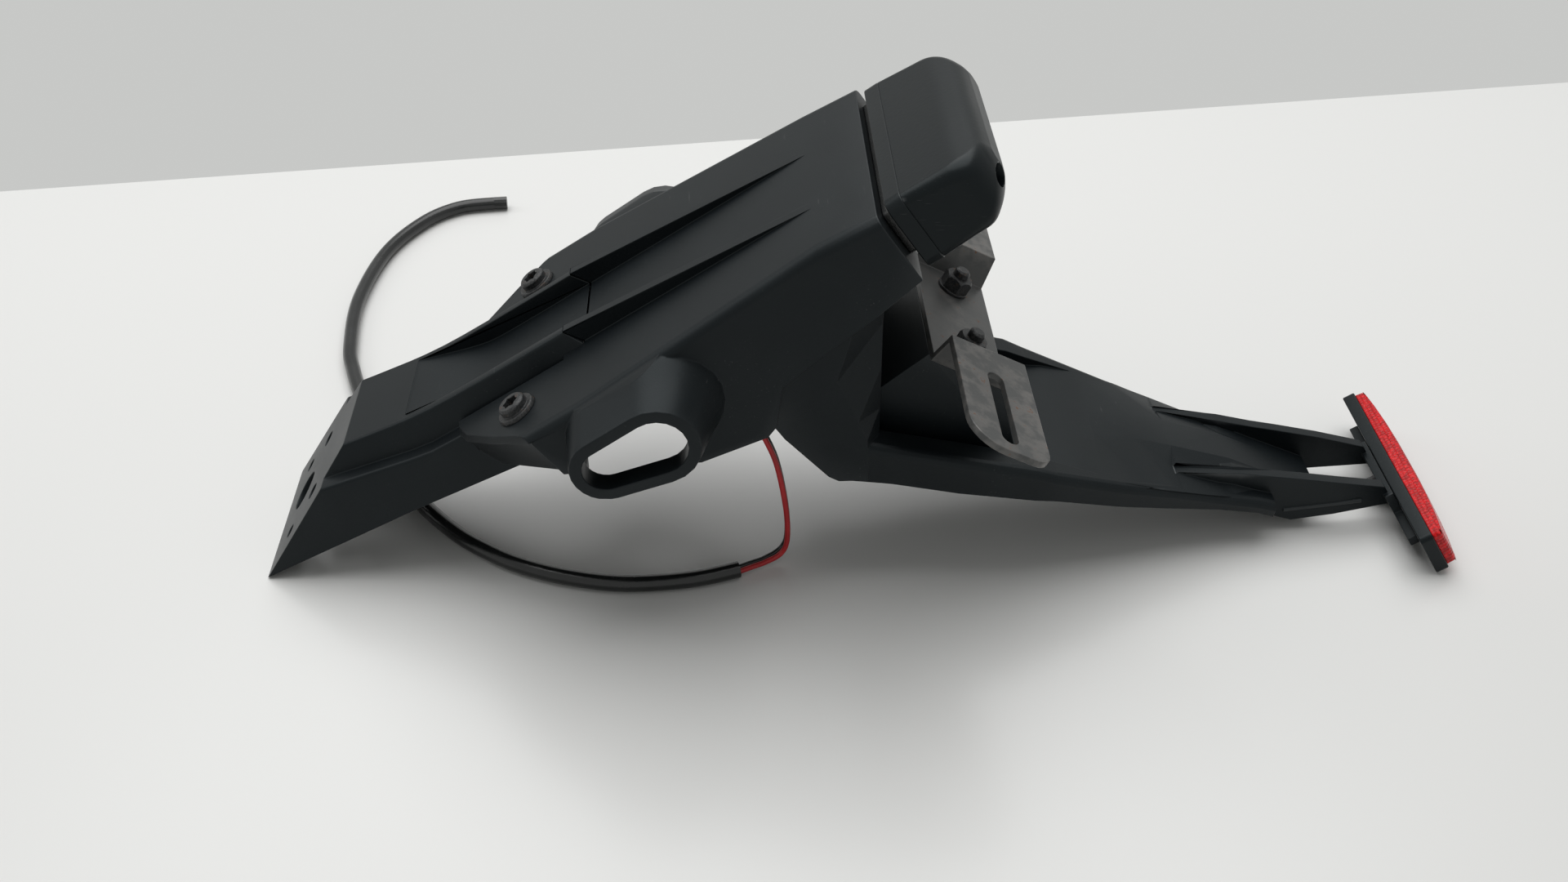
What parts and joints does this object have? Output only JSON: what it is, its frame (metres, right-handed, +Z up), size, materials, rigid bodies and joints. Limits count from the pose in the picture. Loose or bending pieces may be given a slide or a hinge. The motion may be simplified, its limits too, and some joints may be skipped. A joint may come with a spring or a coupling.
{
  "type": "licence plate holder",
  "caption": "Rear licence plate holder of a motorcycle: flanged moulded tail with indicator stalks, plate lamp, steel plate bracket, reflector and loose cable.",
  "frame": {"origin": "middle of the bounding box at the table, measured without the wires and the cable", "axes": "+X from the mounting flange to the reflector, +Y across to the left side seen along +X, +Z up"},
  "size_m": [0.4514, 0.3512, 0.1737],
  "materials": {
    "grained_plastic": "dark grey black moulded plastic, fine satin grain, light dust and small scratches",
    "smooth_plastic": "smooth black moulded plastic with soft highlights and fine scuffs",
    "zinc_steel": "zinc plated steel, dulled, with light rust in the corners",
    "painted_steel": "dark grey painted steel strip, edges worn bright, rust where the paint has chipped",
    "clear_lens": "clear moulded plastic lens over the lamp's underside",
    "bright_foil": "bright reflecting sheet inside the lamp",
    "bulb_glass": "clear bulb glass on a metal base",
    "red_lens": "red prismatic reflector lens with fine sparkle",
    "black_rubber": "black rubber and soft plastic, half glossy, slightly dusty",
    "red_insulation": "red wire insulation, half glossy"
  },
  "bodies": {
    "root": {"front_carrier": "grained_plastic", "rear_housing": "grained_plastic", "lower_arm": "grained_plastic", "carrier_screws": "zinc_steel", "clip_nuts": "zinc_steel", "arm_screws": "zinc_steel", "lamp_seal": "black_rubber", "lamp_foot": "smooth_plastic", "lamp_body": "smooth_plastic", "lamp_lens": "clear_lens", "lamp_mirror": "bright_foil", "lamp_socket": "zinc_steel", "lamp_bulb": "bulb_glass", "lamp_screws": "zinc_steel", "plate_bracket": "painted_steel", "bracket_studs": "zinc_steel", "bracket_nuts": "zinc_steel", "bracket_washers": "zinc_steel", "reflector_base": "smooth_plastic", "reflector_lens": "red_lens", "reflector_nut": "zinc_steel", "wire_grommet": "black_rubber", "red_wire": "red_insulation", "black_wire": "black_rubber", "cable_sheath": "black_rubber", "cable_end": "black_rubber"}
  },
  "joints": []
}
